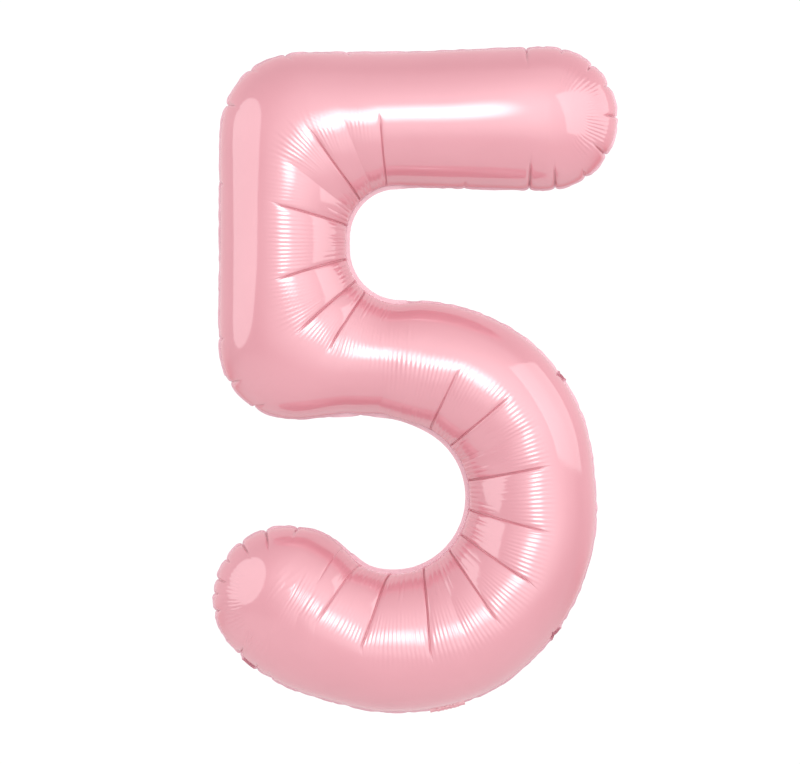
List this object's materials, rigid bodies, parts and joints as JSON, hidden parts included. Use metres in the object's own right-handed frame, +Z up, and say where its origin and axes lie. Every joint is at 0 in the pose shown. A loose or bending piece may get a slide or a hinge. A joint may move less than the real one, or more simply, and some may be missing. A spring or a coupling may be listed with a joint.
{
  "type": "foil number balloon",
  "caption": "Inflated foil balloon shaped as the digit 5, with a sealed edge, a folded inflation tail and a film valve.",
  "frame": {"origin": "middle of the crease where the inflation tail folds, on the belly's lowest edge", "axes": "+Z up the digit, +X to the digit's right as it is read, -Y out of the digit's front; the seam lies in the plane Y = 0"},
  "size_m": [0.5239, 0.1764, 0.8603],
  "materials": {
    "foil_front": "pastel pink metallised film, glossy, finely wrinkled",
    "foil_rear": "pastel pink metallised film, glossy, finely wrinkled",
    "foil_seal": "heat-sealed film edge, lighter and slightly embossed",
    "valve_film": "clear thin film, slightly hazy"
  },
  "bodies": {
    "envelope": {"front_panel": "foil_front", "rear_panel": "foil_rear", "heat_seal_band": "foil_seal"},
    "tail": {"tail_front_ply": "foil_front", "tail_rear_ply": "foil_rear", "tail_valve_front_ply": "valve_film", "tail_valve_rear_ply": "valve_film"},
    "valve_front": {"valve_front_ply": "valve_film"},
    "valve_rear": {"valve_rear_ply": "valve_film"}
  },
  "joints": [
    {"name": "tail_fold", "type": "hinge", "parent": "envelope", "child": "tail", "pos_m": [0, 0, 0], "axis": [-0.9732, 0, -0.23], "range_deg": [0, 200]},
    {"name": "valve_open", "type": "hinge", "parent": "envelope", "child": "valve_front", "pos_m": [0, -0.00045, 0], "axis": [0.9732, 0, 0.23], "range_deg": [0, 1.2], "stiffness_Nm_per_rad": 0.002},
    {"name": "valve_open_rear", "type": "hinge", "parent": "envelope", "child": "valve_rear", "pos_m": [0, 0.00045, 0], "axis": [0.9732, 0, 0.23], "range_deg": [-1.2, 0], "stiffness_Nm_per_rad": 0.002}
  ],
  "couplings": [
    {"joint": "valve_open_rear", "follows": "valve_open", "ratio": -1}
  ]
}
